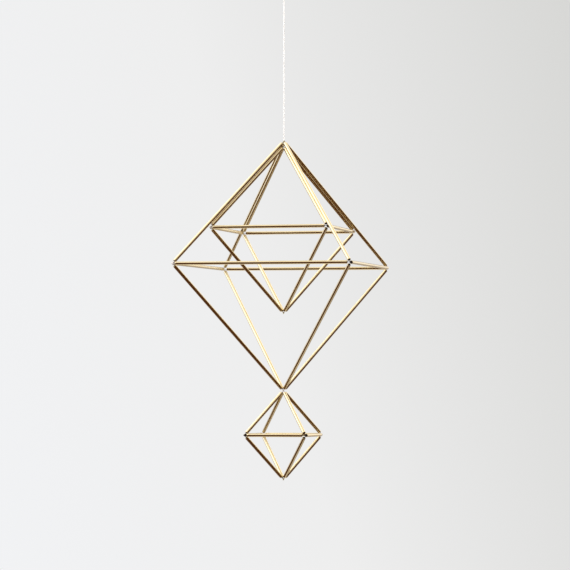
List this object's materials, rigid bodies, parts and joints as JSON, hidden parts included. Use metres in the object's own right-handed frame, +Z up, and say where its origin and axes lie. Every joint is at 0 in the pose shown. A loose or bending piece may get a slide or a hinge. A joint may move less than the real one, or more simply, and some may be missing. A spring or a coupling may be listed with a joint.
{
  "type": "hanging mobile sculpture",
  "caption": "Hanging mobile of thin brass tubes strung as nested octahedra, one inside another and a small one below, on a white cord.",
  "frame": {"origin": "inside crown of the hanging loop, where a hook bears", "axes": "+Z up along the hanging cord, +X along the front side of each frame's square, front facing -Y"},
  "size_m": [0.16, 0.16, 0.4658],
  "materials": {
    "brass_tube": "bright drawn",
    "cotton_cord": "twisted white cotton"
  },
  "bodies": {
    "root": {"outer_upper_tube_back_right": "brass_tube", "outer_upper_tube_back_left": "brass_tube", "outer_upper_tube_front_left": "brass_tube", "outer_upper_tube_front_right": "brass_tube", "outer_side_tube_back": "brass_tube", "outer_side_tube_left": "brass_tube", "outer_side_tube_front": "brass_tube", "outer_side_tube_right": "brass_tube", "outer_lower_tube_back_right": "brass_tube", "outer_lower_tube_back_left": "brass_tube", "outer_lower_tube_front_left": "brass_tube", "outer_lower_tube_front_right": "brass_tube", "inner_upper_tube_back_right": "brass_tube", "inner_upper_tube_back_left": "brass_tube", "inner_upper_tube_front_left": "brass_tube", "inner_upper_tube_front_right": "brass_tube", "inner_side_tube_back": "brass_tube", "inner_side_tube_left": "brass_tube", "inner_side_tube_front": "brass_tube", "inner_side_tube_right": "brass_tube", "inner_lower_tube_back_right": "brass_tube", "inner_lower_tube_back_left": "brass_tube", "inner_lower_tube_front_left": "brass_tube", "inner_lower_tube_front_right": "brass_tube", "small_upper_tube_back_right": "brass_tube", "small_upper_tube_back_left": "brass_tube", "small_upper_tube_front_left": "brass_tube", "small_upper_tube_front_right": "brass_tube", "small_side_tube_back": "brass_tube", "small_side_tube_left": "brass_tube", "small_side_tube_front": "brass_tube", "small_side_tube_right": "brass_tube", "small_lower_tube_back_right": "brass_tube", "small_lower_tube_back_left": "brass_tube", "small_lower_tube_front_left": "brass_tube", "small_lower_tube_front_right": "brass_tube", "top_thread_tie": "cotton_cord", "outer_thread_tie_back_right": "cotton_cord", "outer_thread_tie_back_left": "cotton_cord", "outer_thread_tie_front_left": "cotton_cord", "outer_thread_tie_front_right": "cotton_cord", "inner_thread_tie_back_right": "cotton_cord", "inner_thread_tie_back_left": "cotton_cord", "inner_thread_tie_front_left": "cotton_cord", "inner_thread_tie_front_right": "cotton_cord", "small_thread_tie_back_right": "cotton_cord", "small_thread_tie_back_left": "cotton_cord", "small_thread_tie_front_left": "cotton_cord", "small_thread_tie_front_right": "cotton_cord", "inner_thread_tie_bottom": "cotton_cord", "waist_thread_tie": "cotton_cord", "small_thread_tie_bottom": "cotton_cord", "hanging_cord": "cotton_cord", "hanging_loop": "cotton_cord", "loop_knot": "cotton_cord"}
  },
  "joints": []
}
